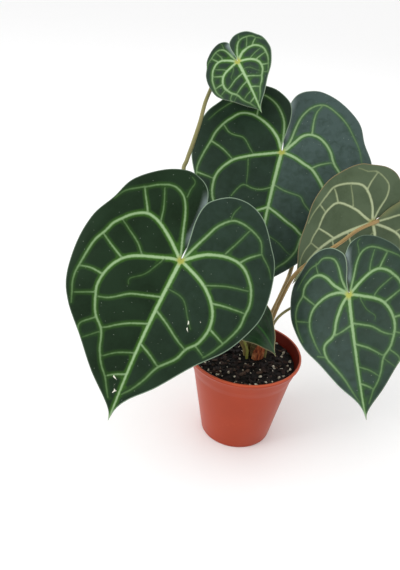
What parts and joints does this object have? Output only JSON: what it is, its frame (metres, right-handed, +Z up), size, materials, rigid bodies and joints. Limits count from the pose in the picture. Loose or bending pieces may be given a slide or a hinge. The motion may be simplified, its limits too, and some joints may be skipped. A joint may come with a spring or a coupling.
{
  "type": "potted velvet-leaf aroid plant",
  "caption": "House plant with heart-shaped velvety leaves and a pale raised vein net, on slim stalks in a tapered plastic nursery pot filled with bark and perlite mix.",
  "frame": {"origin": "middle of the pot's flat underside", "axes": "+Z up, the plant's front faces -Y"},
  "size_m": [0.318, 0.2921, 0.3368],
  "materials": {
    "pot": "moulded terracotta-coloured plastic, softly glossy",
    "soil": "damp bark, perlite and fine soil",
    "stem": "ringed green-brown stem skin",
    "sheath": "dry papery fibre",
    "stalk": "smooth tan-olive skin",
    "blade": "velvety dark green with pale veins, olive beneath",
    "young_blade": "glossy mid green"
  },
  "bodies": {
    "root": {"pot": "pot", "soil": "soil", "stem": "stem", "sheath_1": "sheath", "sheath_2": "sheath", "stalk_1": "stalk", "stalk_2": "stalk", "stalk_3": "stalk", "stalk_4": "stalk", "stalk_5": "stalk", "stalk_6": "stalk", "blade_1": "blade", "blade_2": "blade", "blade_3": "blade", "blade_4": "blade", "blade_5": "young_blade", "blade_6": "blade"}
  },
  "joints": []
}
